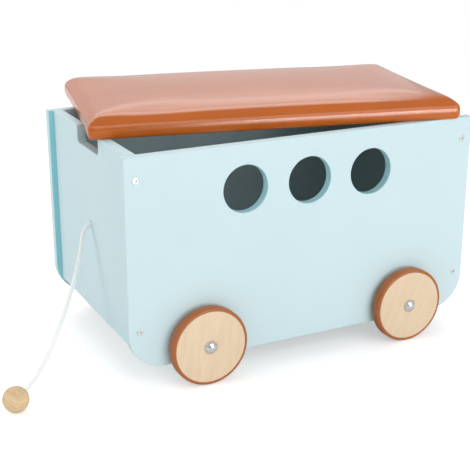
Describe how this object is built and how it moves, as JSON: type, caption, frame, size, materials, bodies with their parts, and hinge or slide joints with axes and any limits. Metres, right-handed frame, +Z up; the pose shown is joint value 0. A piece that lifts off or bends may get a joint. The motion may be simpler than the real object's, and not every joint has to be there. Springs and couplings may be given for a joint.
{
  "type": "wheeled toy box",
  "caption": "Low rectangular toy chest of painted boards on disc wheels, with round portholes in front, hand grips in the ends, a loose padded lid and a pull cord with a ball.",
  "frame": {"origin": "On the floor under the middle of the box, level with the lowest points of the wheels.", "axes": "+X along the box from the cord end to the other end, +Y from the porthole side to the back, +Z up."},
  "size_m": [0.8146, 0.4803, 0.398],
  "materials": {
    "painted_board": "satin pale blue paint over board",
    "plain_wood": "clear satin varnish on beech",
    "bare_board": "bare, unseen",
    "steel": "zinc plated",
    "chrome": "polished",
    "tyre_rubber": "matt caramel brown",
    "plastic": "off-white, moulded",
    "leatherette": "smooth caramel leatherette, semi-gloss",
    "foam": "soft foam, unseen",
    "cord": "white braided cotton"
  },
  "bodies": {
    "box": {"front_panel": "painted_board", "back_panel": "painted_board", "left_end_panel": "painted_board", "right_end_panel": "painted_board", "floor_board": "painted_board", "front_screws": "steel", "back_screws": "steel", "joint_dowels": "plain_wood", "left_axle": "steel", "right_axle": "steel", "front_left_spacer": "plastic", "front_left_axle_cap": "chrome", "front_right_spacer": "plastic", "front_right_axle_cap": "chrome", "back_left_spacer": "plastic", "back_left_axle_cap": "chrome", "back_right_spacer": "plastic", "back_right_axle_cap": "chrome", "pull_cord": "cord", "cord_knot": "cord", "pull_ball": "plain_wood"},
    "lid": {"lid_cover": "leatherette", "lid_board": "bare_board", "lid_foam": "foam"},
    "front_left_wheel": {"front_left_wheel_disc": "plain_wood", "front_left_tyre": "tyre_rubber", "front_left_hub_bush": "plastic"},
    "front_right_wheel": {"front_right_wheel_disc": "plain_wood", "front_right_tyre": "tyre_rubber", "front_right_hub_bush": "plastic"},
    "back_left_wheel": {"back_left_wheel_disc": "plain_wood", "back_left_tyre": "tyre_rubber", "back_left_hub_bush": "plastic"},
    "back_right_wheel": {"back_right_wheel_disc": "plain_wood", "back_right_tyre": "tyre_rubber", "back_right_hub_bush": "plastic"}
  },
  "joints": [
    {"name": "lid_lift", "type": "slide", "parent": "box", "child": "lid", "axis": [0, 0, 1], "range_m": [0, 0.3]},
    {"name": "front_left_roll", "type": "hinge", "parent": "box", "child": "front_left_wheel", "pos_m": [-0.1765, -0.191, 0.061], "axis": [0, 1, 0], "continuous": true},
    {"name": "front_right_roll", "type": "hinge", "parent": "box", "child": "front_right_wheel", "pos_m": [0.1765, -0.191, 0.061], "axis": [0, 1, 0], "continuous": true},
    {"name": "back_left_roll", "type": "hinge", "parent": "box", "child": "back_left_wheel", "pos_m": [-0.1765, 0.191, 0.061], "axis": [0, 1, 0], "continuous": true},
    {"name": "back_right_roll", "type": "hinge", "parent": "box", "child": "back_right_wheel", "pos_m": [0.1765, 0.191, 0.061], "axis": [0, 1, 0], "continuous": true}
  ]
}
